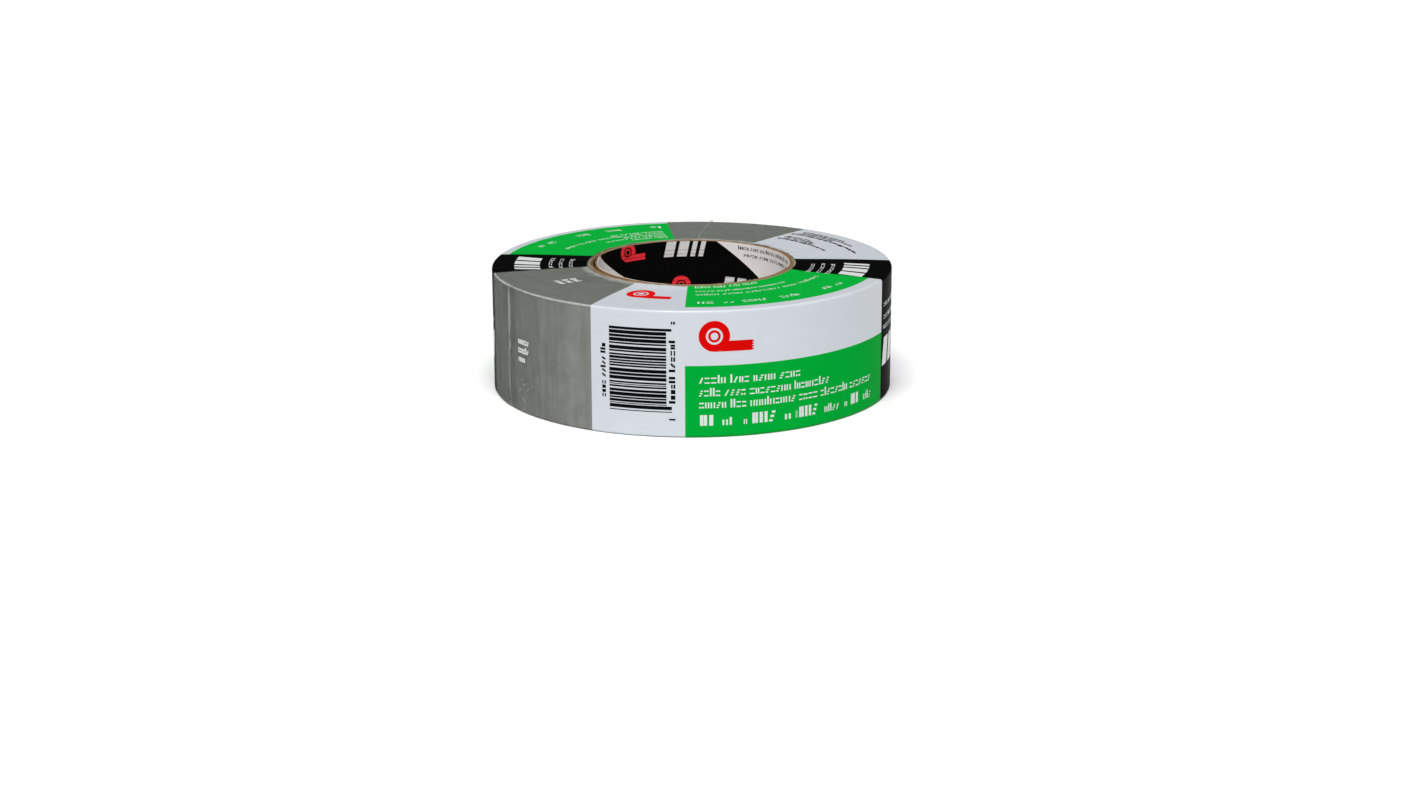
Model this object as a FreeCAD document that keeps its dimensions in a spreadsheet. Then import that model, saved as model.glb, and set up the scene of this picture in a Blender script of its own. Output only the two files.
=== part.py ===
import FreeCAD, Part
import math
import os
import Sketcher

# A shrink-wrapped roll of duct tape, lying flat on one face.
# Millimetres. The roll's axis is Z and its lower face lies on Z = 0. The front of the label faces -Y.

DIMENSIONS = {
    # tape
    "tape_width": 48,
    "adhesive_thickness": 0.09,
    "cloth_thickness": 0.08,
    "backing_thickness": 0.09,
    "first_end_gap": 0.6,
    # paperboard tube
    "bore_diameter": 76.6,
    "liner_thickness": 0.15,
    "ply_thickness": 0.41,
    "ply_count": 5,
    "winding_pitch": 158,
    "tube_rise": 0.6,
    "butt_gap": 0.3,
    "butt_overrun": 1,
    # shrink film
    "film_diameter": 157.6,
    "film_thickness": 0.1,
    "film_corner": 0.3,
    "film_slack": 0.07,
    "film_edge_gap": 0.9,
    "weld_width": 0.6,
    "weld_height": 0.25,
    "weld_end": 1,
    # directions round the axis, in degrees from +X
    "liner_butt_angle": 205,
    "ply_butt_angle": 20,
    "ply_butt_step": 137,
    "first_end_angle": 40,
    "free_end_angle": 207,
    "weld_angle": 84,
}

# Heights and radii that several sub-parts share, as expressions over the sheet.
TAPE_BOTTOM = "(sheet.film_thickness + sheet.film_slack)"
FILM_HEIGHT = f"(sheet.tape_width + 2 * {TAPE_BOTTOM})"
TURN = "(sheet.adhesive_thickness + sheet.cloth_thickness + sheet.backing_thickness)"
BORE_RADIUS = "(sheet.bore_diameter / 2)"
PLY_RADIUS = f"({BORE_RADIUS} + sheet.liner_thickness)"
TUBE_RADIUS = f"({PLY_RADIUS} + sheet.ply_count * sheet.ply_thickness)"
TUBE_LENGTH = "(sheet.tape_width + sheet.tube_rise)"
FILM_RADIUS = "(sheet.film_diameter / 2)"
WOUND_RADIUS = f"({FILM_RADIUS} - sheet.film_thickness - sheet.film_slack - 2 * {TURN})"
FILM_EDGE_RADIUS = f"({TUBE_RADIUS} + sheet.film_edge_gap)"

# The three layers of the tape, from the side that faces the tube.
LAYERS = ("adhesive", "cloth", "backing")

ROOT = (-1, 1)
H_AXIS = -1
V_AXIS = -2
START, END, CENTRE = 1, 2, 3
QUARTER = math.pi / 2


def make_sheet(doc):
    """The spreadsheet of driving dimensions, one alias to a row."""
    sheet = doc.addObject("Spreadsheet::Sheet", "sheet")
    for row, (alias, value) in enumerate(DIMENSIONS.items(), 1):
        sheet.set(f"A{row}", alias)
        sheet.set(f"B{row}", str(value))
        sheet.setAlias(f"B{row}", alias)
    doc.recompute()
    return sheet


def new_body(doc, name, angle="0"):
    """An empty sub-part, turned about the roll's axis."""
    body = doc.addObject("PartDesign::Body", name)
    body.Label = name
    body.Placement = FreeCAD.Placement(FreeCAD.Vector(0, 0, 0), FreeCAD.Rotation(FreeCAD.Vector(0, 0, 1), 1))
    body.setExpression("Placement.Rotation.Angle", angle)
    return body


def new_sketch(body, name, role, lift="0"):
    """A sketch on one of the body's own origin planes, moved along the roll's axis."""
    plane = next(f for f in body.Origin.OriginFeatures if f.Role == role)
    sketch = body.newObject("Sketcher::SketchObject", f"{body.Name}_{name}")
    sketch.AttachmentSupport = [(plane, "")]
    sketch.MapMode = "FlatFace"
    along = "z" if role == "XY_Plane" else "y"
    sketch.setExpression(f"AttachmentOffset.Base.{along}", lift)
    return sketch


def point(x, y):
    return FreeCAD.Vector(x, y, 0)


def constrain(sketch, kind, *where):
    return sketch.addConstraint(Sketcher.Constraint(kind, *where))


def dimension(sketch, kind, name, expression, *where):
    """A named constraint whose value comes from the sheet."""
    index = constrain(sketch, kind, *where, sketch.evalExpression(expression))
    sketch.renameConstraint(index, name)
    sketch.setExpression(f"Constraints.{name}", expression)


def rectangle(sketch, inner, thickness, height):
    """A closed rectangle on the H axis: its inner edge's distance from the V axis, its width and its height."""
    x0 = sketch.evalExpression(inner)
    x1 = x0 + sketch.evalExpression(thickness)
    y1 = sketch.evalExpression(height)
    corners = [point(x0, 0), point(x1, 0), point(x1, y1), point(x0, y1)]
    sides = [
        sketch.addGeometry(Part.LineSegment(corners[i], corners[(i + 1) % 4]))
        for i in range(4)
    ]
    for i in range(4):
        constrain(sketch, "Coincident", sides[i], END, sides[(i + 1) % 4], START)
        constrain(sketch, "Vertical" if i % 2 else "Horizontal", sides[i])
    constrain(sketch, "PointOnObject", sides[0], START, H_AXIS)
    dimension(sketch, "DistanceX", "inner", inner, *ROOT, sides[0], START)
    dimension(sketch, "DistanceX", "thickness", thickness, sides[0], START, sides[0], END)
    dimension(sketch, "DistanceY", "height", height, sides[1], START, sides[1], END)


def revolve(body, sketch):
    revolution = body.newObject("PartDesign::Revolution", f"{body.Name}_turned")
    revolution.Profile = sketch
    revolution.ReferenceAxis = (sketch, ["V_Axis"])
    revolution.Angle = 360
    return revolution


def pad(body, sketch, length):
    extrusion = body.newObject("PartDesign::Pad", f"{body.Name}_{sketch.Name.split('_')[-1]}_pad")
    extrusion.Profile = sketch
    extrusion.setExpression("Length", length)
    return extrusion


def tube_ply(doc, name, inner, thickness, angle):
    """One ply of the tube: a strip wound in a steep helix, so that it is a ring with one helical butt joint.

    The tube is flush with the tape below and stands out of it a little above.
    """
    body = new_body(doc, name, angle)
    wall = new_sketch(body, "wall", "XZ_Plane", TAPE_BOTTOM)
    rectangle(wall, inner, thickness, TUBE_LENGTH)
    revolve(body, wall)
    # the joint starts and ends clear of the tube's ends, and runs clear of both its faces
    joint = new_sketch(body, "joint", "XZ_Plane", "-sheet.butt_overrun")
    rectangle(joint, f"{inner} - sheet.butt_gap", f"{thickness} + 2 * sheet.butt_gap", "sheet.butt_gap")
    helix = body.newObject("PartDesign::SubtractiveHelix", f"{name}_helix")
    helix.Profile = joint
    helix.ReferenceAxis = (joint, ["V_Axis"])
    helix.Mode = "pitch-height-angle"
    helix.setExpression("Pitch", "sheet.winding_pitch")
    helix.setExpression("Height", f"{TUBE_LENGTH} + {TAPE_BOTTOM} + 2 * sheet.butt_overrun")
    return body


def first_turn(doc, layer, inner, thickness):
    """A layer of the first turn: it lies on the tube, and the gap is where the next turn climbs over its end."""
    body = new_body(doc, f"first_turn_{layer}", "sheet.first_end_angle")
    wall = new_sketch(body, "wall", "XZ_Plane", TAPE_BOTTOM)
    rectangle(wall, inner, thickness, "sheet.tape_width")
    turned = revolve(body, wall)
    turned.setExpression("Angle", f"360 - sheet.first_end_gap / {inner} * 180 / pi")
    return body


def quarter_arcs(sketch, name, radius):
    """One turn of a spiral as four tangent quarter arcs about the corners of a small square.

    It starts on the H axis at the radius given and ends there one tape thickness further out.
    """
    step = TURN + " / 4"
    r = sketch.evalExpression(radius)
    s = sketch.evalExpression(step)
    centres = [(0, 0), (0, -s), (s, -s), (s, 0)]
    arcs = []
    for quarter, (x, y) in enumerate(centres):
        circle = Part.Circle(point(x, y), FreeCAD.Vector(0, 0, 1), r + quarter * s)
        arc = Part.ArcOfCircle(circle, quarter * QUARTER, (quarter + 1) * QUARTER)
        arcs.append(sketch.addGeometry(arc))
    for before, after in zip(arcs, arcs[1:]):
        constrain(sketch, "Coincident", before, END, after, START)
    constrain(sketch, "PointOnObject", arcs[0], START, H_AXIS)
    constrain(sketch, "PointOnObject", arcs[0], END, V_AXIS)
    constrain(sketch, "Horizontal", arcs[1], CENTRE, arcs[1], END)
    constrain(sketch, "Vertical", arcs[2], CENTRE, arcs[2], END)
    constrain(sketch, "PointOnObject", arcs[3], END, H_AXIS)
    constrain(sketch, "Coincident", arcs[0], CENTRE, *ROOT)
    constrain(sketch, "PointOnObject", arcs[1], CENTRE, V_AXIS)
    constrain(sketch, "Horizontal", arcs[1], CENTRE, arcs[2], CENTRE)
    constrain(sketch, "PointOnObject", arcs[3], CENTRE, H_AXIS)
    constrain(sketch, "Vertical", arcs[2], CENTRE, arcs[3], CENTRE)
    dimension(sketch, "DistanceY", f"{name}_down", step, arcs[1], CENTRE, *ROOT)
    dimension(sketch, "DistanceX", f"{name}_across", step, *ROOT, arcs[3], CENTRE)
    dimension(sketch, "Radius", name, radius, arcs[0])
    return arcs


def join(sketch, first, second):
    """A straight line between two ends, each given as a piece of the sketch and one of its points."""
    ends = [sketch.getPoint(*first), sketch.getPoint(*second)]
    line = sketch.addGeometry(Part.LineSegment(*ends))
    constrain(sketch, "Coincident", line, START, *first)
    constrain(sketch, "Coincident", line, END, *second)


def tape_winding(doc):
    """All the turns between the first and the last. Their outside is a spiral with a step at the free end."""
    body = new_body(doc, "tape_winding", "sheet.free_end_angle")
    sketch = new_sketch(body, "face", "XY_Plane", TAPE_BOTTOM)
    spiral = quarter_arcs(sketch, "outside", WOUND_RADIUS)
    join(sketch, (spiral[3], END), (spiral[0], START))
    inside = f"{TUBE_RADIUS} + {TURN}"
    hole = Part.Circle(point(0, 0), FreeCAD.Vector(0, 0, 1), sketch.evalExpression(inside))
    hole = sketch.addGeometry(hole)
    constrain(sketch, "Coincident", hole, CENTRE, *ROOT)
    dimension(sketch, "Radius", "inside", inside, hole)
    pad(body, sketch, "sheet.tape_width")
    return body


def last_turn(doc, layer, inner, thickness):
    """A layer of the last turn: it starts at the winding's step and ends on top of its own start."""
    body = new_body(doc, f"last_turn_{layer}", "sheet.free_end_angle")
    sketch = new_sketch(body, "face", "XY_Plane", TAPE_BOTTOM)
    inside = quarter_arcs(sketch, "inside", inner)
    outside = quarter_arcs(sketch, "outside", f"{inner} + {thickness}")
    join(sketch, (inside[0], START), (outside[0], START))
    join(sketch, (inside[3], END), (outside[3], END))
    pad(body, sketch, "sheet.tape_width")
    return body


def film_outline(sketch):
    """The film's section: a channel that holds the roll, open towards the axis, with rounded corners."""
    edge = sketch.evalExpression(FILM_EDGE_RADIUS)
    outer = sketch.evalExpression(FILM_RADIUS)
    top = sketch.evalExpression(FILM_HEIGHT)
    film = DIMENSIONS["film_thickness"]
    corner = DIMENSIONS["film_corner"]
    straight, bend = outer - corner, corner - film
    axis = FreeCAD.Vector(0, 0, 1)
    lower, upper = point(straight, corner), point(straight, top - corner)

    def line(x0, y0, x1, y1):
        return sketch.addGeometry(Part.LineSegment(point(x0, y0), point(x1, y1)))

    def arc(centre, radius, first):
        circle = Part.Circle(centre, axis, radius)
        return sketch.addGeometry(Part.ArcOfCircle(circle, first * QUARTER, (first + 1) * QUARTER))

    floor = line(edge, 0, straight, 0)
    low_corner = arc(lower, corner, 3)
    wall = line(outer, corner, outer, top - corner)
    high_corner = arc(upper, corner, 0)
    lid = line(straight, top, edge, top)
    high_end = line(edge, top, edge, top - film)
    lid_inside = line(edge, top - film, straight, top - film)
    high_bend = arc(upper, bend, 0)
    wall_inside = line(outer - film, top - corner, outer - film, corner)
    low_bend = arc(lower, bend, 3)
    floor_inside = line(straight, film, edge, film)
    low_end = line(edge, film, edge, 0)

    for flat in (floor, lid, lid_inside, floor_inside):
        constrain(sketch, "Horizontal", flat)
    for upright in (wall, wall_inside, high_end, low_end):
        constrain(sketch, "Vertical", upright)
    # at each bend: line end, bend start, bend end, line start
    for before, bend_id, after in ((floor, low_corner, wall), (wall, high_corner, lid)):
        constrain(sketch, "Tangent", before, END, bend_id, START)
        constrain(sketch, "Tangent", bend_id, END, after, START)
    constrain(sketch, "Tangent", lid_inside, END, high_bend, END)
    constrain(sketch, "Tangent", high_bend, START, wall_inside, START)
    constrain(sketch, "Tangent", wall_inside, END, low_bend, END)
    constrain(sketch, "Tangent", low_bend, START, floor_inside, START)
    for before, after in ((lid, high_end), (high_end, lid_inside), (floor_inside, low_end), (low_end, floor)):
        constrain(sketch, "Coincident", before, END, after, START)
    constrain(sketch, "Coincident", high_corner, CENTRE, high_bend, CENTRE)
    constrain(sketch, "Coincident", low_corner, CENTRE, low_bend, CENTRE)
    constrain(sketch, "Equal", low_corner, high_corner)
    constrain(sketch, "PointOnObject", floor, START, H_AXIS)
    constrain(sketch, "Vertical", floor, START, lid, END)
    dimension(sketch, "DistanceX", "edge_radius", FILM_EDGE_RADIUS, *ROOT, floor, START)
    dimension(sketch, "DistanceX", "film_radius", FILM_RADIUS, *ROOT, wall, START)
    dimension(sketch, "DistanceY", "film_height", FILM_HEIGHT, *ROOT, lid, END)
    dimension(sketch, "DistanceY", "film_thickness", "sheet.film_thickness", low_end, END, low_end, START)
    dimension(sketch, "Radius", "film_corner", "sheet.film_corner", low_corner)


def shrink_sleeve(doc):
    """The film round the outside and over both faces, with the bead of its welded seam up the wall."""
    body = new_body(doc, "shrink_sleeve", "sheet.weld_angle")
    section = new_sketch(body, "section", "XZ_Plane")
    film_outline(section)
    revolve(body, section)
    weld = new_sketch(body, "weld", "XZ_Plane", "sheet.weld_end")
    half = "sheet.film_thickness / 2"
    rectangle(weld, f"{FILM_RADIUS} - {half}", f"{half} + sheet.weld_height", f"{FILM_HEIGHT} - 2 * sheet.weld_end")
    bead = pad(body, weld, "sheet.weld_width")
    bead.Midplane = True
    return body


def stack(start, count):
    """Expressions for the inner radius of each of several equal plies, from the inside out."""
    return [f"({start} + {i} * sheet.ply_thickness)" for i in range(count)]


def layer_radii(start):
    """The tape's layers from the inside out: name, inner radius and thickness."""
    radius = start
    for layer in LAYERS:
        thickness = f"sheet.{layer}_thickness"
        yield layer, f"({radius})", thickness
        radius = f"{radius} + {thickness}"


def build(doc):
    """Every sub-part of the roll, from the bore out."""
    parts = [tube_ply(doc, "core_liner", BORE_RADIUS, "sheet.liner_thickness", "sheet.liner_butt_angle")]
    for i, radius in enumerate(stack(PLY_RADIUS, DIMENSIONS["ply_count"])):
        angle = f"sheet.ply_butt_angle + {i} * sheet.ply_butt_step"
        parts.append(tube_ply(doc, f"core_ply_{i + 1}", radius, "sheet.ply_thickness", angle))
    parts += [first_turn(doc, *layer) for layer in layer_radii(TUBE_RADIUS)]
    parts.append(tape_winding(doc))
    parts += [last_turn(doc, *layer) for layer in layer_radii(WOUND_RADIUS)]
    parts.append(shrink_sleeve(doc))
    return parts


def check(doc, parts):
    """Stop if any object failed, or if a sub-part is not one valid closed solid."""
    for thing in doc.Objects:
        if "Invalid" in thing.State or "Error" in thing.State:
            raise RuntimeError(f"{thing.Name} failed: {thing.State}")
    for body in parts:
        shape = body.Shape
        if shape.isNull() or not shape.isValid() or len(shape.Solids) != 1:
            raise RuntimeError(f"{body.Label} is not one valid solid")


def main():
    doc = FreeCAD.newDocument("duct_tape_roll")
    make_sheet(doc)
    parts = build(doc)
    doc.recompute()
    check(doc, parts)
    os.makedirs("parts", exist_ok=True)
    for body in parts:
        body.Shape.exportStep(f"parts/{body.Label}.step")
        print(f"{body.Label}: {body.Shape.Volume:.1f} mm3")


main()
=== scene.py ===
"""A roll of duct tape on a wound paper tube, in a printed shrink sleeve.

Lengths are in mm, except in the materials, which are in metres. Angles are in degrees from +X, and the
front is -Y.
"""

import math

import bmesh
import bpy
import numpy as np
from mathutils import Matrix, Vector


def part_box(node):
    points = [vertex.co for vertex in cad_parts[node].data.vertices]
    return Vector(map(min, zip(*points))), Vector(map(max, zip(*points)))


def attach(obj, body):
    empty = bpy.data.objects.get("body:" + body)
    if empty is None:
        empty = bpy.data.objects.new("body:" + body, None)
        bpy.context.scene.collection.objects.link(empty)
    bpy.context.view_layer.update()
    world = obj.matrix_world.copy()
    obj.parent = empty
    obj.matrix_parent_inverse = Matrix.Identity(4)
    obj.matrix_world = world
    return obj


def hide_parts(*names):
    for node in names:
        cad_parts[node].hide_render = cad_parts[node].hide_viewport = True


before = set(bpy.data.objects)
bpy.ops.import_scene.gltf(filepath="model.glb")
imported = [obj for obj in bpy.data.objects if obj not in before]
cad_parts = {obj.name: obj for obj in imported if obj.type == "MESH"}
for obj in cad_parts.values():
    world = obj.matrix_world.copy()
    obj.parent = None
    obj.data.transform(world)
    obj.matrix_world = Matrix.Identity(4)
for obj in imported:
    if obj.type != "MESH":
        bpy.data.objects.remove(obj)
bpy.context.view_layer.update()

MM = 0.001

# ---------------------------------------------------------------- sizes, from the CAD nodes


def reach(node):
    """A CAD node's outer radius and its lowest and highest level."""
    low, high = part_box(node)
    return max(high.x, -low.x, high.y, -low.y) / MM, low.z / MM, high.z / MM


FILM_R, FILM_LOW, FILM_TOP = reach("shrink_sleeve")
TAPE_R, TAPE_LOW, TAPE_TOP = reach("last_turn_backing")
TUBE_R, _, TUBE_TOP = reach("core_ply_5")
LINER_OUT = reach("core_liner")[0]
FIRST_TURN_R = reach("first_turn_backing")[0]
PLY_R = [LINER_OUT] + [reach(f"core_ply_{i}")[0] for i in range(1, 6)]
LINER_T = 0.15
BORE_R = LINER_OUT - LINER_T
MIDDLE = (TAPE_LOW + TAPE_TOP) / 2  # the level at which the angles of the tube's strips are given
PITCH = 360 / 158  # degrees that the strips turn in each mm of height
JOINT_GAP = 0.44  # degrees between a strip's own edges

FILM_T = 0.1
FILM_EDGE = 0.9  # gap between the tube and the film's shrunk edge
FILM_IN = TUBE_R + FILM_EDGE
RIM = 0.9  # how round the film is over the roll's rims
LAYERS = (("adhesive", 0.09), ("cloth", 0.08), ("backing", 0.09))  # of the tape, from the tube outwards
TURN = sum(t for _, t in LAYERS)
FREE_END = 207.0  # where the tape's outer end lies
SEAM = 84.0  # where the film is welded


def wave(seed, cycles, amplitude):
    """A smooth random function of an angle that closes after a turn."""
    draw = np.random.RandomState(seed)
    phase = draw.uniform(0, 2 * np.pi, len(cycles))
    size = draw.uniform(0.5, 1, len(cycles))
    size *= amplitude / size.sum()

    def f(angle, shift=0.0):
        a = np.radians(angle)
        waves = enumerate(zip(cycles, phase, size))
        return sum(s * np.sin(c * a + p + (i + 1) * shift) for i, (c, p, s) in waves)

    return f


def smooth(x, low, high):
    """Goes smoothly from 0 at low to 1 at high."""
    t = np.clip((x - low) / (high - low), 0, 1)
    return t * t * (3 - 2 * t)


def turn_to(angle, centre):
    """The angle from centre, between -180 and 180."""
    return (np.asarray(angle) - centre + 180) % 360 - 180


def bell(x, width):
    """Is 1 at 0 and falls off evenly on both sides."""
    return np.exp(-((x / width) ** 2))


def dome(across):
    """A round top over a strip that reaches from -1 to 1."""
    return np.sqrt(np.maximum(1 - across**2, 0))


def cylinder(r, angle, z):
    """Points from a radius, an angle and a height."""
    a = np.radians(angle)
    r, a, z = np.broadcast_arrays(r, a, z)
    return np.stack([r * np.cos(a), r * np.sin(a), z], -1)


# ---------------------------------------------------------------- meshes


def grid_faces(rows, cols, wrap_rows=False, wrap_cols=False):
    """Four-sided faces between the points of a grid, which may close on itself."""
    last_row = rows if wrap_rows else rows - 1
    last_col = cols if wrap_cols else cols - 1
    i, j = np.meshgrid(np.arange(last_row), np.arange(last_col), indexing="ij")
    i2, j2 = (i + 1) % rows, (j + 1) % cols
    return np.stack([i * cols + j, i * cols + j2, i2 * cols + j2, i2 * cols + j], -1).reshape(-1, 4)


class Pile:
    """Closed shapes gathered into one piece."""

    def __init__(self):
        self.points, self.faces, self.count = [], [], 0

    def add(self, points, faces):
        points = np.asarray(points, float).reshape(-1, 3)
        self.points.append(points)
        self.faces.append(np.asarray(faces) + self.count)
        self.count += len(points)

    def sheet(self, outer, inner, around=False):
        """The solid between two grids of points, closed round its borders."""
        rows, cols = outer.shape[:2]
        face = grid_faces(rows, cols, wrap_cols=around)
        n = rows * cols
        index = np.arange(n).reshape(rows, cols)
        if around:
            loops = [np.append(index[0], index[0, 0]), np.append(index[-1], index[-1, 0])[::-1]]
        else:
            loops = [np.concatenate([index[0], index[1:, -1], index[-1, -2::-1], index[-2::-1, 0]])]
        sides = [np.stack([k[1:], k[:-1], k[:-1] + n, k[1:] + n], -1) for k in loops]
        points = np.concatenate([outer.reshape(-1, 3), inner.reshape(-1, 3)])
        self.add(points, np.concatenate([face, face[:, ::-1] + n, *sides]))

    def ring(self, points):
        """A closed outline swept right round: rows along the outline, columns round the axis."""
        self.add(points, grid_faces(*points.shape[:2], wrap_rows=True, wrap_cols=True))

    def piece(self, name, material, slot, nodes=(), sharp=40):
        """Makes the object, which stands in for the CAD nodes that are given."""
        mesh = bpy.data.meshes.new(name)
        points, faces = np.concatenate(self.points) * MM, np.concatenate(self.faces)
        mesh.from_pydata(points.tolist(), [], faces.tolist())
        form = bmesh.new()
        form.from_mesh(mesh)
        bmesh.ops.recalc_face_normals(form, faces=form.faces)
        form.to_mesh(mesh)
        form.free()
        mesh.shade_smooth()
        mesh.set_sharp_from_angle(angle=math.radians(sharp))
        mesh.materials.append(material)
        obj = bpy.data.objects.new(name, mesh)
        bpy.context.scene.collection.objects.link(obj)
        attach(obj, "root")
        if nodes:
            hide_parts(*nodes)
        return obj


# ---------------------------------------------------------------- materials


class Nodes:
    """A material's nodes, made one call each."""

    def __init__(self, name):
        self.material = bpy.data.materials.new(name)
        self.material.use_nodes = True
        self.tree = self.material.node_tree
        self.tree.nodes.clear()

    def add(self, kind, inputs=None, **props):
        """Adds a node and links its inputs to sockets or sets them to values."""
        node = self.tree.nodes.new("ShaderNode" + kind)
        for key, value in props.items():
            setattr(node, key, value)
        for key, value in (inputs or {}).items():
            if isinstance(value, bpy.types.NodeSocket):
                self.tree.links.new(value, node.inputs[key])
            else:
                node.inputs[key].default_value = value
        return node

    def math(self, operation, a, b=0.0, clamp=False):
        return self.add("Math", {0: a, 1: b}, operation=operation, use_clamp=clamp).outputs[0]

    def noise(self, scale, detail=3.0, vector=None):
        inputs = {"Scale": scale, "Detail": detail}
        if vector is not None:
            inputs["Vector"] = vector
        else:
            inputs["Vector"] = self.add("TexCoord").outputs["Object"]
        return self.add("TexNoise", inputs).outputs[0]

    def span(self, value, low, high, to_low, to_high):
        """Maps low to high onto another range and keeps within it."""
        keys = {"Value": value, "From Min": low, "From Max": high, "To Min": to_low, "To Max": to_high}
        return self.add("MapRange", keys).outputs[0]

    def vary(self, noise, to_low, to_high):
        """Spreads a noise, most of which lies between 0.3 and 0.7, over a range."""
        return self.span(noise, 0.3, 0.7, to_low, to_high)

    def weighed(self, *terms):
        """The sum of some sockets, each times its weight."""
        total = 0.0
        for socket, weight in terms:
            total = self.math("ADD", self.math("MULTIPLY", socket, weight), total)
        return total

    def tones(self, factor, dark, light):
        mix = self.add("Mix", {"Factor": factor}, data_type="RGBA")
        mix.inputs[6].default_value = (*dark, 1)
        mix.inputs[7].default_value = (*light, 1)
        return mix.outputs[2]

    def place(self):
        """Sockets for X, Y and Z on the object."""
        return self.add("SeparateXYZ", {0: self.add("TexCoord").outputs["Object"]}).outputs

    def polar(self):
        """Sockets for radius, angle as a share of a turn, and height."""
        at = self.place()
        radius = self.math("SQRT", self.weighed((at[0], at[0]), (at[1], at[1])))
        angle = self.math("DIVIDE", self.math("ARCTAN2", at[1], at[0]), 2 * math.pi)
        return radius, angle, at[2]

    def stretched(self, *axes):
        """A place for a noise: each axis is a socket times a scale."""
        scaled = [self.math("MULTIPLY", socket, scale) for socket, scale in axes]
        return self.add("CombineXYZ", dict(enumerate(scaled))).outputs[0]

    def bump(self, height, distance, strength=1.0):
        return self.add("Bump", {"Height": height, "Distance": distance, "Strength": strength}).outputs[0]

    def finish(self, shader):
        self.add("OutputMaterial", {"Surface": shader})
        return self.material

    def principled(self, colour, roughness, more):
        """Ends the material in one principled shader."""
        keys = {"Base Color": colour, "Roughness": roughness, **more}
        return self.finish(self.add("BsdfPrincipled", keys).outputs[0])


def shift(colour, by):
    """A colour made darker or lighter."""
    return tuple(min(1.0, max(0.0, c * by)) for c in colour)


def ink(name, colour, gloss=0.3, ior=1.45, spread=0.05):
    """Printed shrink film: a nearly even ink with faint mottling, under gloss with a soft ripple."""
    n = Nodes(name)
    cloud = n.noise(90, 4)
    fine = n.noise(1500, 3)
    tone = n.tones(cloud, shift(colour, 1 - spread), shift(colour, 1 + spread))
    rough = n.vary(fine, gloss - 0.03, gloss + 0.04)
    ripple = n.weighed((n.noise(190, 2), 1.0), (fine, 0.02))
    return n.principled(tone, rough, {"Normal": n.bump(ripple, 0.00006, 0.5), "IOR": ior})


def clear_film():
    """Bare shrink film: clear and glossy, milky where it has shrunk most, beside the tube, with a painted
    highlight along the upper rim.
    """
    n = Nodes("bare_film")
    radius, _, level = n.polar()
    patch = n.noise(170, 4)
    # the inner edge is milky as far as a ragged line, and more so at the rear
    ragged = n.weighed((radius, 1.0), (patch, -0.006))
    edge = n.span(ragged, (FILM_IN - 3.4) * MM, (FILM_IN + 0.4) * MM, 0.26, 0.0)
    edge = n.math("MULTIPLY", edge, n.span(n.place()[1], 0.0, 0.8 * FILM_IN * MM, 1.0, 2.5))
    # a painted highlight along the middle of the upper rim, partly film whitened where it is stretched over
    # it
    corner = (FILM_R + FILM_TOP) * MM
    rim = n.span(n.math("ADD", radius, level), corner - 0.84 * MM, corner - 0.60 * MM, 0.0, 0.42)
    rim = n.math("MULTIPLY", rim, n.span(patch, 0.3, 0.6, 0.5, 1.0))
    haze_and_highlight = n.math("ADD", edge, n.span(n.noise(420, 4), 0.45, 0.8, 0.008, 0.045))
    haze_and_highlight = n.math("ADD", haze_and_highlight, rim, clamp=True)
    ripple = n.bump(n.noise(240, 2), 0.00008, 0.7)
    through = n.add("BsdfTransparent", {"Color": (0.96, 0.97, 0.96, 1)}).outputs[0]
    mirror = n.add("BsdfGlossy", {"Color": (1, 1, 1, 1), "Roughness": 0.16, "Normal": ripple}).outputs[0]
    fresnel = n.math("MINIMUM", n.add("Fresnel", {"IOR": 1.45, "Normal": ripple}).outputs[0], 0.025)
    # a thin film mirrors nothing from within, so only its outward faces do
    outward = n.math("SUBTRACT", 1.0, n.add("NewGeometry").outputs["Backfacing"])
    share = n.math("MULTIPLY", fresnel, outward)
    clear = n.add("MixShader", {0: share, 1: through, 2: mirror}).outputs[0]
    keys = {"Base Color": (0.72, 0.74, 0.72, 1), "Roughness": 0.4, "Normal": ripple}
    milk_and_highlight = n.add("BsdfPrincipled", keys).outputs[0]
    return n.finish(n.add("MixShader", {0: haze_and_highlight, 1: clear, 2: milk_and_highlight}).outputs[0])


def frosted(name, alpha, rear=None):
    """Film that is thick and cloudy: its shrunk edge, weld and crease. On the crease the pale colour is
    partly a painted highlight. It may be cloudier at the rear.
    """
    n = Nodes(name)
    cloud = n.noise(600, 4)
    if rear:
        alpha = n.span(n.place()[1], -0.5 * FILM_IN * MM, 0.6 * FILM_IN * MM, alpha, rear)
    tone = n.tones(cloud, (0.26, 0.25, 0.22), (0.56, 0.55, 0.50))
    tooth = n.bump(n.noise(1400, 3), 0.0001, 0.7)
    return n.principled(tone, n.vary(cloud, 0.25, 0.5), {"Alpha": alpha, "Normal": tooth})


def weave(n):
    """Height of a plain cloth weave that shows through thin plastic."""
    round_threads, thread_gap = 480, 0.85 * MM
    _, angle, z = n.polar()
    across = n.math("SINE", n.math("MULTIPLY", angle, 2 * math.pi * round_threads))
    along = n.math("SINE", n.math("MULTIPLY", z, 2 * math.pi / thread_gap))
    return n.math("ADD", n.math("ABSOLUTE", across), n.math("ABSOLUTE", along))


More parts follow.
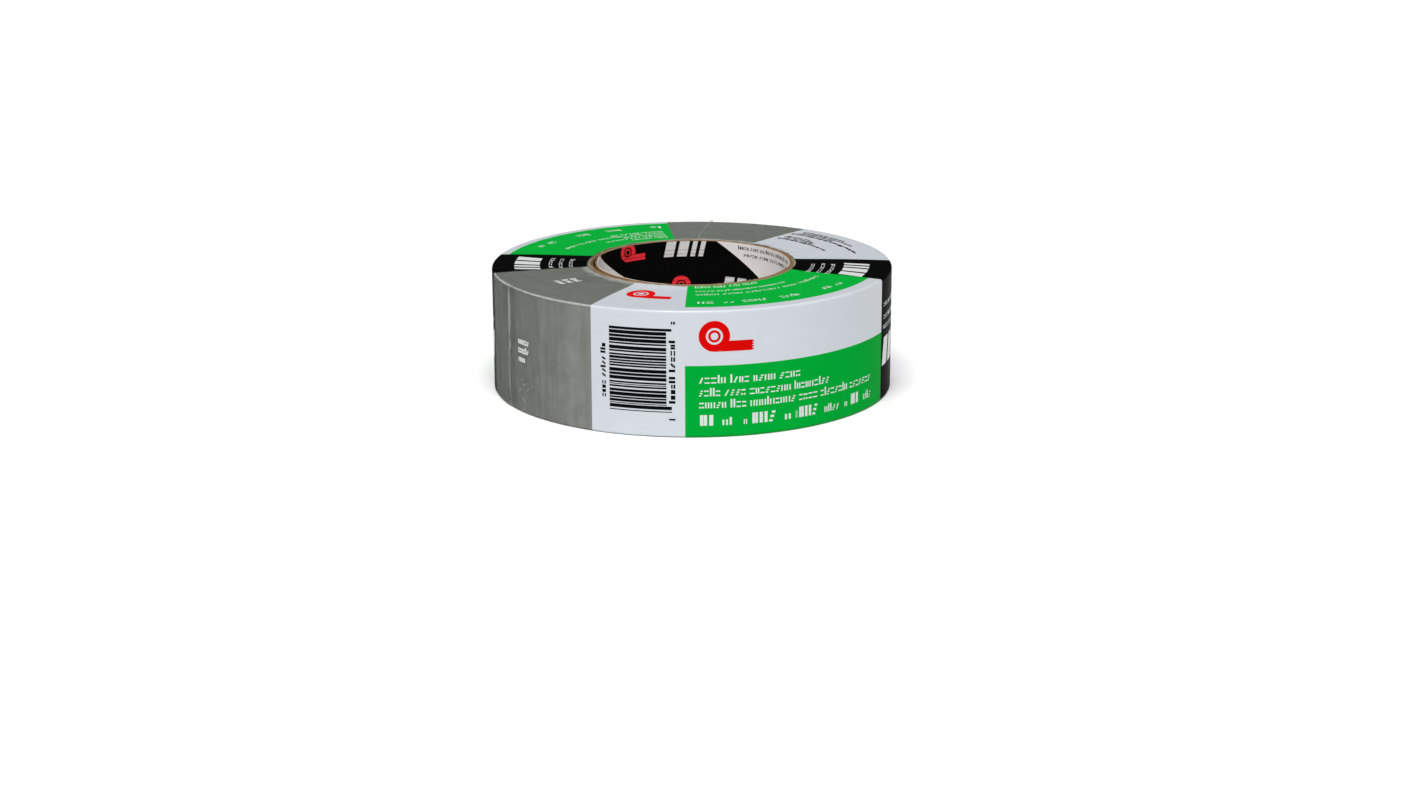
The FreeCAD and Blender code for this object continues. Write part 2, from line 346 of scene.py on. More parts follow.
def tape_plastic(name, colour):
    """The tape's silver backing, with upright bands. Painted shade darkens it towards -X."""
    n = Nodes(name)
    cloud = n.noise(130, 4)
    _, angle, z = n.polar()
    bands = n.noise(1.0, 4, n.stretched((angle, 130.0), (z, 9.0)))
    # painted shade: the colour is darker from -122 degrees round to -180, darkest past -166
    painted_shade = n.span(angle, -0.46, -0.34, 0.78, 0.0)
    light = n.span(n.weighed((cloud, 0.35), (bands, 0.65)), 0.34, 0.66, 0.54, 1.0)
    factor = n.math("SUBTRACT", light, painted_shade, clamp=True)
    tone = n.tones(factor, shift(colour, 0.28), shift(colour, 1.12))
    height = n.weighed((weave(n), 0.4), (n.noise(900, 3), 1.0))
    more = {"Normal": n.bump(height, 0.00005, 0.25), "IOR": 1.12}
    return n.principled(tone, n.vary(cloud, 0.42, 0.55), more)


def cloth(name, colour):
    """The tape's cotton cloth."""
    n = Nodes(name)
    tone = n.tones(n.math("MULTIPLY", weave(n), 0.5), shift(colour, 0.7), shift(colour, 1.15))
    more = {"Normal": n.bump(weave(n), 0.00005), "Sheen Weight": 0.2}
    return n.principled(tone, n.vary(n.noise(700, 3), 0.75, 0.9), more)


def rubber(name, colour, rings=False):
    """Adhesive, or the cut edges of the turns with their rings."""
    n = Nodes(name)
    radius, angle, _ = n.polar()
    cloud = n.noise(150, 5)
    factor = cloud
    height = n.noise(1300, 4)
    if rings:
        spiral = n.math("SUBTRACT", n.math("DIVIDE", radius, TURN * MM), angle)
        band = n.math("FRACT", spiral)
        streaks = n.noise(1.0, 4, n.stretched((radius, 900.0), (angle, 3.0)))
        factor = n.weighed((cloud, 0.36), (streaks, 0.36), (band, 0.28))
        height = n.math("ADD", height, band)
    tone = n.tones(factor, shift(colour, 0.72), shift(colour, 1.26))
    return n.principled(tone, n.vary(cloud, 0.5, 0.68), {"Normal": n.bump(height, 0.00004, 0.7)})


def board(name, colour):
    """Greyish kraft board with fibres lying round the tube."""
    n = Nodes(name)
    radius, angle, z = n.polar()
    fibre = n.noise(1.0, 5, n.stretched((radius, 2600.0), (angle, 260.0), (z, 2600.0)))
    factor = n.weighed((fibre, 0.65), (n.noise(260, 3), 0.35))
    tone = n.tones(n.span(factor, 0.32, 0.68, 0.0, 1.0), shift(colour, 0.45), shift(colour, 1.35))
    more = {"Normal": n.bump(fibre, 0.0001), "Specular IOR Level": 0.25}
    return n.principled(tone, n.vary(fibre, 0.82, 0.95), more)


def paper(name, colour, gloss, specular):
    """Printed paper: faint fibres and specks in the colour, and a slight tooth."""
    n = Nodes(name)
    fibre = n.noise(1900, 5)
    factor = n.weighed((fibre, 0.6), (n.noise(140, 3), 0.4))
    tone = n.tones(factor, shift(colour, 0.9), shift(colour, 1.08))
    more = {"Normal": n.bump(fibre, 0.00004, 0.5), "Specular IOR Level": specular}
    return n.principled(tone, n.vary(fibre, gloss - 0.06, gloss + 0.06), more)


FILM_WHITE = ink("white_film", (0.60, 0.635, 0.68), 0.24, 1.42, 0.03)
FILM_GREEN = ink("green_film", (0.0, 0.37, 0.036), 0.33, 1.04, 0.06)
FILM_BLACK = ink("black_film", (0.001, 0.001, 0.001), 0.34, 1.03, 0.2)
INK_WHITE = ink("white_ink", (0.68, 0.71, 0.70), 0.32, 1.3, 0.03)
INK_BLACK = ink("black_ink", (0.003, 0.003, 0.004), 0.36, 1.05, 0.2)
INK_RED = ink("red_ink", (0.66, 0.002, 0.002), 0.33, 1.06, 0.05)
FILM_BARE = clear_film()
FILM_FROST = frosted("shrunk_edge", 0.3, 0.75)
FILM_WELD = frosted("film_weld", 0.32)
# the crease's pale strips are partly a painted highlight along the tape's free end
FILM_CREASE_AND_HIGHLIGHT = frosted("film_crease_and_highlight", 0.42)
PAPER_WHITE = paper("white_paper", (0.92, 0.885, 0.865), 0.5, 0.3)
PAPER_BLACK = paper("black_paper", (0.0015, 0.0015, 0.0015), 0.5, 0.05)
PAPER_INK_WHITE = paper("white_paper_ink", (0.76, 0.75, 0.73), 0.5, 0.3)
PAPER_INK_RED = paper("red_paper_ink", (1.0, 0.03, 0.045), 0.5, 0.2)
PAPER_INK_DARK = paper("dark_paper_ink", (0.02, 0.02, 0.022), 0.5, 0.2)
BOARD = board("kraft_board", (0.26, 0.155, 0.075))
BOARD_PALE = board("pale_board", (0.38, 0.26, 0.155))
TAPE_EDGES = rubber("tape_edges", (0.16, 0.168, 0.15), rings=True)
ADHESIVE = rubber("tape_adhesive", (0.34, 0.33, 0.28))
CLOTH = cloth("tape_cloth", (0.42, 0.42, 0.38))
BACKING = tape_plastic("tape_plastic", (0.235, 0.24, 0.222))
TAPE_LOOKS = {"adhesive": ADHESIVE, "cloth": CLOTH, "backing": BACKING}

# ---------------------------------------------------------------- the film's surface

FLAT = FILM_R - RIM - FILM_IN  # width of the film's flat ring on each face
ARC = RIM * math.pi / 2
WALL = FILM_TOP - FILM_LOW - 2 * RIM
FILM_LENGTH = 2 * FLAT + 2 * ARC + WALL


def path_at_radius(r):
    """Distance along the film from its upper inner edge to a radius on the upper face."""
    return r - FILM_IN


def path_at_height(z):
    """The same to a height on the wall."""
    return FLAT + ARC + FILM_TOP - RIM - z


def film_line(path):
    """Radius and height of the film's outside along its path, and the way it faces."""
    path = np.asarray(path, float)
    lower = path > FILM_LENGTH / 2
    p = np.where(lower, FILM_LENGTH - path, path)
    turn = np.clip((p - FLAT) / RIM, 0, math.pi / 2)
    r = np.minimum(FILM_IN + p, FILM_R - RIM) + RIM * np.sin(turn)
    z = RIM * np.cos(turn) - np.maximum(p - FLAT - ARC, 0)
    z = np.where(p < FLAT, RIM, z) + FILM_TOP - RIM
    facing_r, facing_z = np.sin(turn), np.cos(turn)
    return r, np.where(lower, FILM_TOP + FILM_LOW - z, z), facing_r, np.where(lower, -facing_z, facing_z)


slack = wave(3, [2, 3, 5, 8, 13], 0.05)
tight = wave(5, [17, 23, 31, 43], 0.03)
pucker = wave(7, [37, 53, 71, 96], 0.05)
curl = wave(9, [9, 14, 22, 35, 51], 0.22)
END_STEP = 0.12  # how far the film drops just past the tape's free end
END_RIDGE = 0.07  # and how high it stands along it
# folds in the film's wall: angle and level at each end, height, half-width
WALL_FOLDS = [
    (-148, 8, -142, 14, 0.09, 0.7),
    (-146, 12, -140, 15, 0.07, 0.6),
    (-144, 6, -140.5, 10, 0.06, 0.6),
    (-34, 1, -31.5, 13, 0.16, 0.5),
    (-31, 2, -30, 10, 0.10, 0.5),
    (-139.5, 3, -139.5, 46, 0.035, 1.2),
    (-136.5, 2, -136.5, 45, 0.045, 1.0),
    (-131.5, 4, -131.5, 46, 0.04, 1.1),
]
# and in its upper face: angle and radius at each end, height, half-width
FACE_FOLDS = [
    (62, 47, 70, 52, 0.08, 0.6),
    (74, 44, 79, 49, 0.10, 0.6),
    (-160, 50, -152, 64, 0.05, 0.9),
    (-140, 46, -128, 50, 0.06, 0.8),
]
FOLDS = [(a, path_at_height(z0), b, path_at_height(z1), *more) for a, z0, b, z1, *more in WALL_FOLDS]
FOLDS += [(a, path_at_radius(r0), b, path_at_radius(r1), *more) for a, r0, b, r1, *more in FACE_FOLDS]


def fold_height(path, angle, r, fold):
    """How high one fold stands: a rounded ridge along its line that tapers at both ends."""
    start, path_start, end, path_end, height, width = fold
    x, y = np.radians(turn_to(angle, start)) * r, path - path_start
    middle_r = float(film_line((path_start + path_end) / 2)[0])
    long_x, long_y = math.radians(end - start) * middle_r, path_end - path_start
    along = np.clip((x * long_x + y * long_y) / (long_x * long_x + long_y * long_y), 0, 1)
    aside = np.hypot(x - along * long_x, y - along * long_y)
    return height * bell(aside, width) * np.sin(np.pi * np.clip(along, 0.04, 0.96))


def film_relief(path, angle):
    """How far the film stands out from its plain shape."""
    r, z, facing_r, facing_z = film_line(path)
    relief = slack(angle, path / 40) * 0.6 + tight(angle, path / 25) * 0.5
    past = turn_to(angle, FREE_END)
    fade = np.exp(-np.maximum(past - 0.8, 0) / 5)
    step = np.where(past > 0, -END_STEP * smooth(past, 0, 0.8) * fade, 0)
    ridge = END_RIDGE * bell(past - 0.1, 0.5) * (0.6 + 0.4 * np.sin(z * 0.45))
    relief = relief + (step + ridge) * facing_r
    beside_rim = bell(r - FILM_R + 2.5, 2.5)
    beside_tube = 1 - smooth(r, FILM_IN, FILM_IN + 6)
    relief = relief + pucker(angle) * beside_rim * np.abs(facing_z)
    relief = relief + curl(angle) * beside_tube * np.abs(facing_z)
    for fold in FOLDS:
        relief = relief + fold_height(path, angle, r, fold)
    under = np.minimum(relief, 0.08)  # stays off the floor
    return np.where(facing_z < -0.5, under, np.clip(relief, -0.25, 0.4))


CLOSEST = 285.0  # where the film's upper inner edge laps closest to the tube


def hug(path, angle):
    """Share by which the film's upper inner edge laps close to the tube: all along the front, not at -X."""
    near = smooth(np.cos(np.radians(turn_to(angle, CLOSEST))), -0.1, 0.6)
    return near * (1 - smooth(path, 0, 5))


def curl_up(path, angle):
    """Share by which the film's upper inner edge stands up beside the tube, at the rear."""
    return smooth(np.sin(np.radians(angle)), 0.1, 0.6) * (1 - smooth(path, 0, 2.5))


def film_point(path, angle, lift=0.0):
    """Points on the film's outside, or lifted off it."""
    path, angle = np.broadcast_arrays(np.asarray(path, float), np.asarray(angle, float))
    r, z, facing_r, facing_z = film_line(path)
    out = film_relief(path, angle) + lift
    close = hug(path, angle)
    inward = 0.6 * close
    rise = 0.35 * close + 0.42 * curl_up(path, angle)
    return cylinder(r + facing_r * out - inward, angle, z + facing_z * out + rise)


# borders between the printed zones: angle on the wall, angle at the film's inner edge, printing beyond it
ZONES = [
    (-118.5, -121.7, "white"),
    (-92.0, -92.4, "green"),
    (-22.0, -18.7, "black"),
    (2.4, 8.7, "white"),
    (52.6, 55.1, "clear"),
    (97.7, 99.2, "green"),
    (168.0, 162.1, "black"),
    (191.5, 187.2, "clear"),
]
COLUMN = 0.55  # degrees between the film's columns of points
BAND_Z = 27.5  # the green panels' straight upper edge on the wall
BAND_R = {1: 73.1, 5: 74.9}  # and their outer edge on the upper face, by zone


def border(k, path):
    """Angle of a zone's first border along the film. Past the last zone it goes on round."""
    wall, inner, _ = ZONES[k % len(ZONES)]
    r = film_line(path)[0]
    return np.interp(r, [FILM_IN, FILM_R], [inner, wall]) + 360 * (k // len(ZONES))


def path_rows(start, end):
    """Rows of points along the film, closer together round the rims."""
    marks = [0, FLAT, FLAT + ARC, FLAT + ARC + WALL, FILM_LENGTH - FLAT, FILM_LENGTH]
    gaps = [1.2, 0.2, 1.0, 0.2, 1.6]  # on the upper face, a rim, the wall, a rim and the lower face
    rows = [start]
    for low, high, gap in zip(marks, marks[1:], gaps):
        a, b = max(low, start), min(high, end)
        if b > a:
            rows += list(np.linspace(a, b, max(2, round((b - a) / gap) + 1))[1:])
    return np.array(rows)


def make_film():
    """The film in one piece for each colour, cut along the borders of its printing."""
    fields = {"clear": Pile(), "white": Pile(), "green": Pile(), "black": Pile()}
    for k, (_, _, printing) in enumerate(ZONES):
        parts = [(0, FILM_LENGTH, printing)]
        if printing == "green":
            top, side = path_at_radius(BAND_R[k]), path_at_height(BAND_Z)
            parts = [(0, top, "green"), (top, side, "white"), (side, FILM_LENGTH, "green")]
        for start, end, field in parts:
            path = path_rows(start, end)[:, None]
            a0, a1 = border(k, path), border(k + 1, path)
            share = np.linspace(0, 1, round(float((a1 - a0).max()) / COLUMN))
            if field == "clear" and k == len(ZONES) - 1:  # finer across the tape's free end
                near = (FREE_END - ZONES[k][0]) / (ZONES[0][0] + 360 - ZONES[k][0])
                share = np.unique(np.append(share, near + np.linspace(-0.02, 0.06, 24)))
            angle = a0 + (a1 - a0) * share[None, :]
            fields[field].sheet(film_point(path, angle), film_point(path, angle, -FILM_T))
    fields["clear"].piece("film_clear", FILM_BARE, "printed_film", ["shrink_sleeve"])
    fields["white"].piece("film_white", FILM_WHITE, "printed_film")
    fields["green"].piece("film_green", FILM_GREEN, "printed_film")
    fields["black"].piece("film_black", FILM_BLACK, "printed_film")


def make_film_edges():
    """The film's rolled inner edges, above and below."""
    pile = Pile()
    thick = wave(21, [6, 11, 19, 33, 58], 0.09)
    stray = wave(23, [4, 9, 16, 27, 45], 0.20)
    angle = np.linspace(0, 360, 480, endpoint=False)
    around = np.linspace(0, 360, 10, endpoint=False)[:, None]
    for level, way in ((0.0, 1), (FILM_LENGTH, -1)):
        at = film_point(level, angle)
        r0, z0 = np.hypot(at[:, 0], at[:, 1]), at[:, 2]
        at_rear = bell(turn_to(angle, 80), 45)
        size = 0.09 + np.abs(thick(angle)) * 0.5 + 0.15 * at_rear
        r = r0 + 0.05 + stray(angle, way) * 0.4 + size * 1.2 * np.cos(np.radians(around))
        z = z0 - way * 0.10 + size * 0.8 * np.sin(np.radians(around))
        pile.ring(cylinder(r, angle[None, :], np.clip(z, FILM_LOW, None)))
    pile.piece("film_edge", FILM_FROST, "printed_film", sharp=80)


def make_film_seam():
    """The weld where the sleeve's film is joined, with its nub at the upper rim."""
    pile = Pile()
    upper = np.linspace(1.5, FLAT, 40)
    wall = np.linspace(FLAT, FILM_LENGTH - FLAT, 90)
    path = np.concatenate([upper, wall[1:-1], FILM_LENGTH - upper[::-1]])[:, None]
    r, _, _, facing_z = film_line(path)
    lean = np.interp(r, [FILM_IN, FILM_R], [3.0, 0.0])
    wander = wave(25, [3, 7, 12], 0.25)(path * 3)
    across = np.linspace(-1, 1, 9)[None, :]
    fade = np.clip(np.minimum(path, FILM_LENGTH - path) / 6, 0.25, 1)
    nub = bell(path - FLAT - 0.5, 0.55)
    half = 0.36 * fade + 0.35 * nub
    tall = np.where(facing_z < -0.5, 0.05, 0.07 * fade + 0.85 * nub)
    angle = SEAM + lean + np.degrees((wander + across * half) / r)
    lift = tall * dome(across) + 0.01
    pile.sheet(film_point(path, angle, lift), film_point(path, angle, -0.04))
    pile.piece("film_seam", FILM_WELD, "printed_film", sharp=70)


def make_film_crease_and_highlight():
    """The cloudy crease in the film along the tape's free end, and short wrinkles beside it. Their pale
    colour is partly a painted highlight.
    """
    pile = Pile()
    across = np.linspace(-1, 1, 9)[None, :]
    # angle and level at each end, half-width
    strips = [
        (0.1, 28.0, 0.3, 46.8, 1.15),
        (-0.4, 19.0, 0.3, 27.6, 0.75),
        (-0.2, 4.0, -0.6, 18.6, 0.5),
        (5.0, 8.0, 7.6, 9.6, 0.32),
        (6.4, 12.2, 8.2, 13.8, 0.38),
        (7.8, 11.0, 9.6, 12.0, 0.32),
        (6.0, 6.6, 9.8, 4.2, 0.36),
        (9.6, 9.0, 11.0, 10.6, 0.28),
    ]
    for k, (a0, low, a1, high, wide) in enumerate(strips):
        share = np.linspace(0, 1, max(9, round(abs(high - low) / 0.4)))[:, None]
        z = low + (high - low) * share
        rough = 1 + wave(33 + k, [2, 5, 9, 15], 0.5)(share * 360)
        half = wide * np.sqrt(np.maximum(np.sin(np.pi * np.clip(share, 0.02, 0.98)), 0)) * rough
        line = FREE_END + a0 + (a1 - a0) * share + wave(53 + k, [1, 3, 6, 10], 0.35)(share * 360)
        angle = line + np.degrees(across * half / FILM_R)
        path = path_at_height(z)
        pile.sheet(film_point(path, angle, 0.012 + 0.05 * dome(across)), film_point(path, angle, -0.03))
    pile.piece("film_crease_and_highlight", FILM_CREASE_AND_HIGHLIGHT, "printed_film", sharp=70)


# ---------------------------------------------------------------- printed marks


MARK_HEIGHT = 0.03  # of a mark above its surface
MARK_ROOT = 0.02  # and how far it reaches below, so that no gap shows


def film_place(angle, path, upright=True):
    """Turns mm to the right and up, as read from outside, into a place on the film.

    Lines that aren't upright run up the wall.
    """
    r = float(film_line(path)[0])

    def place(x, y, lift):
        if not upright:
            x, y = -y, x
        return film_point(path - y, angle + np.degrees(x / r), lift)

    return place


def liner_place(angle, z):
    """The same for the liner, read from inside the bore."""

    def place(x, y, lift):
        return liner_point(angle - np.degrees(x / BORE_R), z + y, -lift)

    return place


def stamp(pile, place, x, y, around=False):
    """One thin raised mark from a grid of places."""
    x, y = np.broadcast_arrays(np.asarray(x, float), np.asarray(y, float))
    pile.sheet(place(x, y, MARK_HEIGHT), place(x, y, -MARK_ROOT), around)


def steps(start, length):
    """Values along a length, close enough together to follow the roll's curve."""
    largest = 1.2
    return np.linspace(start, start + length, int(length / largest) + 2)


def block(pile, place, x, y, w, h):
    """A rectangle, unless it is too thin to see."""
    if min(w, h) > 0.02:
        stamp(pile, place, steps(x, w)[None, :], steps(y, h)[:, None])


def small_mark(pile, place, x, y, h, draw, stroke, rise):
    """One stand-in for a character: a few thin strokes or dashes. Returns its width."""
    kind = draw.choice(6, p=(0.20, 0.18, 0.24, 0.06, 0.16, 0.16))
    w, pen, low = h * draw.uniform(0.40, 0.54), h * stroke, h * rise
    if kind == 0:  # one tall stroke
        w = pen * 1.2
        block(pile, place, x, y, w, h)
    elif kind == 1:  # two level strokes
        block(pile, place, x, y, w, pen)
        block(pile, place, x, y + low - pen, w, pen)
    elif kind == 2:  # two upright strokes
        block(pile, place, x, y, pen, low)
        block(pile, place, x + w - pen, y, pen, low)
    elif kind == 3:  # a slanted stroke
        rows = np.linspace(0, low, 3)[:, None]
        stamp(pile, place, x + (w - pen) * rows / low + np.array([[0, pen * 1.1]]), y + rows)
    elif kind == 4:  # three dashes
        block(pile, place, x, y, w * 0.55, pen)
        block(pile, place, x + w * 0.45, y + low - pen, w * 0.55, pen)
        block(pile, place, x + w * 0.2, y + low * 0.5 - pen * 0.5, w * 0.6, pen)
    else:  # two dots and a dash
        block(pile, place, x, y, pen * 1.3, pen * 1.3)
        block(pile, place, x + w - pen * 1.3, y, pen * 1.3, pen * 1.3)
        block(pile, place, x, y + low - pen * 1.3, w, pen * 1.1)
    return w


def line_of(pile, place, height, words, seed, length=None, gap=0.14, pen=0.15, rise=0.7):
    """A line of stand-in words, fitted to a length where one is given.

    Gap, pen and rise are shares of the height. Most marks stop at the rise.
    """
    draw = np.random.RandomState(seed)
    between = height * 0.34
    natural = sum(words) * height * (0.46 + gap) + (len(words) - 1) * between
    scale = length / natural if length else 1.0

    def fitted(x, y, lift):
        return place(x * scale, y, lift)

    x = 0.0
    for count in words:
        for _ in range(count):
            x += small_mark(pile, fitted, x, 0, height, draw, pen, rise) + height * gap
        x += between


def roll_badge(pile, place, wide, tall):
    """A generic picture of a roll from its side: the winding, its core and a torn end."""
    turn = np.radians(np.linspace(0, 360, 49)[:-1])
    big = tall / 2
    for inner, outer in ((0.27, 0.5), (0.12, 0.2)):
        size = np.linspace(inner * tall, outer * tall, 3)[:, None]
        stamp(pile, place, big + size * np.cos(turn), big + size * np.sin(turn), around=True)
    rows = np.linspace(0, tall * 0.34, 9)[:, None]
    teeth = np.where(np.arange(9) % 2, 0.0, -tall * 0.09)[:, None]
    share = np.linspace(0, 1, 7)[None, :]
    start = big + np.sqrt(np.maximum(big**2 - (big - rows) ** 2, 0)) - 0.02
    stamp(pile, place, start + (wide + teeth - start) * share, rows + 0 * share)


def headline(pile, place, width, tall):
    """A row of bold slanted stripes, two broad and two narrow."""
    u = width / 100
    rows = np.linspace(0, tall, 8)[:, None]
    for start, wide in ((0, 23), (31, 23), (62, 11), (81, 11)):
        stamp(pile, place, steps(start * u, wide * u)[None, :] + rows * 0.22, rows)


def bar_ladder(pile, angle0, angle1, low, high):
    """Stacked bars of random thickness that code nothing."""
    draw = np.random.RandomState(41)
    span = math.radians(angle1 - angle0) * FILM_R
    z = low
    while z < high:
        bar = draw.choice([0.33, 0.66, 0.66, 0.99, 1.32])
        wide = 1.09 if z - low < 1 or high - z < 1.5 else 1.0  # the first and last bars stick out
        block(pile, film_place(angle0, path_at_height(z)), 0, 0, span * wide, min(bar, high - z))
        z += bar + draw.choice([0.33, 0.33, 0.33, 0.66])


def arc_line(pile, r, start, end, height, words, seed, **more):
    """A line of stand-in words along an arc of the upper face."""
    length = math.radians(end - start) * r
    line_of(pile, film_place(start, path_at_radius(r)), height, words, seed, length, **more)


def wall_line(pile, z, start, end, height, words, seed, **more):
    """The same along the wall."""
    length = math.radians(end - start) * FILM_R
    line_of(pile, film_place(start, path_at_height(z)), height, words, seed, length, **more)


# the bottom line of the green panels: start and end angle, words, height and thickness of stroke
MEASURE_LINE = [
    (-88.0, -82.9, (2,), 4.1, 0.21),
    (-81.9, -77.9, (2,), 3.0, 0.15),
    (-76.0, -74.8, (1,), 2.6, 0.15),
    (-73.6, -65.1, (4,), 4.1, 0.21),
    (-64.0, -61.6, (1,), 3.0, 0.15),
    (-60.6, -60.0, (1,), 4.0, 0.12),
    (-59.5, -51.8, (4,), 4.1, 0.21),
    (-50.8, -43.6, (5,), 3.0, 0.15),
    (-42.8, -41.4, (1,), 2.6, 0.15),
    (-40.0, -35.2, (2,), 4.1, 0.21),
    (-33.8, -28.0, (4,), 3.2, 0.13),
]


def print_front_wall(white, black, red):
    """The front green panel, the bars on the white one and three words on the clear one."""
    roll_badge(red, film_place(-88.3, path_at_height(32.8)), 21, 11.7)
    # height on the wall, end angle, words
    lines = [(20.7, -57.7, (5, 4, 4, 4)), (15.8, -46.9, (5, 4, 8, 9)), (11.2, -27.0, (5, 4, 9, 4, 8, 7))]
    for row, (z, end, words) in enumerate(lines):
        wall_line(white, z, -88.2, end, 3.2, words, 51 + row)
    for turn in (0, 191.2):  # on this green panel and on the one behind
        for start, end, words, tall, pen in MEASURE_LINE:
            rise = 1.0 if pen > 0.2 else 0.7
            wall_line(white, 4.5, start + turn, end + turn, tall, words, 54, pen=pen, rise=rise)
    bar_ladder(black, -113, -97, 9.5, 41.5)
    # beside the bars: angle, height on the wall, height of the marks, words, length, thickness of stroke
    upright = [
        (-94.6, 13, 2.4, (6, 6), 28, 0.22),
        (-94.6, 43.2, 2.4, (1,), None, 0.22),
        (-94.6, 6.5, 2.4, (1,), None, 0.22),
        (-114.1, 14, 2.1, (4, 5, 3), 22.5, 0.24),
    ]
    for row, (angle, z, tall, words, length, pen) in enumerate(upright):
        place = film_place(angle, path_at_height(z), upright=False)
        line_of(black, place, tall, words, 55 + row, length, pen=pen)
    for row, (z, count) in enumerate(((27.0, 6), (23.5, 6), (20.0, 4))):
        place = film_place(-147.5, path_at_height(z))
        line_of(white, place, 2.7, (count,), 59 + row, 1.3 * count, gap=0.10, pen=0.30)


def print_rear_wall(white, black, red):
    """The rear green panel, and a block of lines on the rear white one."""
    roll_badge(red, film_place(103.0, path_at_height(32.8)), 21, 11.7)
    wall_line(white, 20.7, 103, 132.0, 3.2, (5, 4, 4, 4), 62)
    wall_line(white, 15.8, 103, 144.0, 3.2, (5, 4, 8, 9), 63)
    for row in range(6):
        place = film_place(8, path_at_height(36 - 4.2 * row))
        line_of(black, place, 2.1, (5, 7, 3, 8, 6), 70 + row, 52 - 6 * (row % 3))


def print_black_panels(white):
    """Bold stripes and three lines, on the wall and on the upper face."""
    for start in (-21.0, 170.0):
        headline(white, film_place(start, path_at_height(13.5)), 28, 11)
        headline(white, film_place(start, path_at_radius(70)), 24, 10)
        for row, (r, z) in enumerate(((56.5, 28.0), (52.5, 32.0), (48.5, 37.0))):
            wall = film_place(start + 1, path_at_height(z))
            face = film_place(start + 1, path_at_radius(r))
            line_of(white, wall, 2.0, (4, 5, 4), 80 + row, 26 - 4 * row)
            line_of(white, face, 1.9, (4, 5, 3), 84 + row, 19 - 2 * row)


def print_upper_face(white, red):
    """The green panels' lines and the red badge. Each line: radius, end angles, height, words."""
    roll_badge(red, film_place(-116.0, path_at_radius(61.0)), 20, 12)
    front = [
        (44.0, -88.5, -52, 2.0, (5, 4, 4, 4)),
        (49.0, -88.5, -40, 2.0, (5, 4, 8, 9)),
        (54.4, -88.5, -22.5, 2.0, (5, 4, 9, 4, 8)),
        (67.6, -88.3, -83, 3.8, (2,)),
        (67.6, -80, -76, 2.0, (2,)),
        (67.6, -73.5, -65, 3.8, (4,)),
        (67.6, -60, -52, 3.4, (5,)),
        (67.6, -42, -37.5, 3.4, (2,)),
        (67.6, -35, -31, 2.2, (3,)),
    ]
    rear = [
        (60.2, 102, 128, 1.7, (6, 5, 3)),
        (57.6, 102, 160, 1.7, (5, 4, 9, 4, 8)),
        (54.6, 102, 124, 1.7, (6, 4)),
        (51.8, 102, 134, 1.7, (5, 7)),
        (49.0, 102, 122, 1.7, (4, 5)),
        (69.6, 101, 107, 3.2, (2,)),
        (69.6, 116, 122, 3.2, (4,)),
        (69.6, 129, 135, 3.2, (4,)),
        (69.6, 145, 149, 3.2, (2,)),
        (69.6, 152, 155, 3.2, (2,)),
    ]
    for first_seed, lines in ((90, front), (100, rear)):
        for row, (r, start, end, tall, words) in enumerate(lines):
            arc_line(white, r, start, end, tall, words, first_seed + row)


def print_small(black):
    """Two blocks of small print on the upper face, each with its bold line nearest the tube."""
    end = 51.3
    for lines in (
        ((58.0, 21.6), (59.7, 33.0), (61.4, 36.0), (63.1, 39.0)),
        ((68.0, 13.8), (69.7, 34.0), (71.4, 23.8), (73.1, 31.0)),
    ):
        for row, (r, start) in enumerate(lines):
            count = max(2, round(math.radians(end - start) * r / 5.2))
            words = [5, 7, 4, 6, 8, 5, 7][:count]
            pen = 0.45 if row == 0 else 0.22
            arc_line(black, r, start, end, 1.5, words, 110 + row + round(r), gap=0.10, pen=pen)


def make_film_print():
    """All the marks on the film, in one piece for each ink."""
    white, black, red = Pile(), Pile(), Pile()
    print_front_wall(white, black, red)
    print_rear_wall(white, black, red)
    print_black_panels(white)
    print_upper_face(white, red)
    print_small(black)
    for row, r in enumerate((61.2, 57.8, 54.4)):
        place = film_place(-150.6, path_at_radius(r))
        line_of(white, place, 2.8, (5,), 120 + row, 6.6, gap=0.10, pen=0.28)
    white.piece("print_white", INK_WHITE, "printed_film", sharp=30)
    black.piece("print_black", INK_BLACK, "printed_film", sharp=30)
    red.piece("print_red", INK_RED, "printed_film", sharp=30)


# ---------------------------------------------------------------- the tube

fray = wave(31, [11, 23, 37, 61, 97], 0.07)
PEEL = 1.15  # how far the liner has come away at most
PEEL_DEPTH = 19  # and how far down the tube that reaches
PLY_SHARES = (0.96, 0.88, 0.10, 0.0, 0.0)  # how far each ply goes with it


def peel(angle, z, share=1.0):
    """How far the liner has come away from the tube, near the upper end at -X."""
    side = smooth(angle % 360, 155, 178) * (1 - smooth(angle % 360, 222, 250))
    return PEEL * share * side * smooth(z, TUBE_TOP - PEEL_DEPTH, TUBE_TOP)


def liner_point(angle, z, out=0.0):
    """Points on the liner's inside, or further out."""
    return cylinder(BORE_R + out - peel(angle, z), angle, z)


def strip_angle(a, z):
    """Angle at height z of a strip's own angle a, given at mid-height."""
    return a + PITCH * (z - MIDDLE)


def level_rows(step):
    """Heights along the tube, closer together near its ends."""
    ends = np.array([0, 0.12, 0.4, 1.0, 2.0])
    inner = np.linspace(TAPE_LOW + 3, TUBE_TOP - 3, max(3, round((TUBE_TOP - TAPE_LOW - 6) / step)))
    return np.concatenate([TAPE_LOW + ends, inner, (TUBE_TOP - ends)[::-1]])


# angles at mid-height
LINER_JOINT = 262.0
PLY_JOINT = 77  # the innermost ply's
PLY_JOINT_STEP = 137  # from each ply to the next
BAND = (18.6, 108.4)  # the liner's black printing, which comes again half a turn on


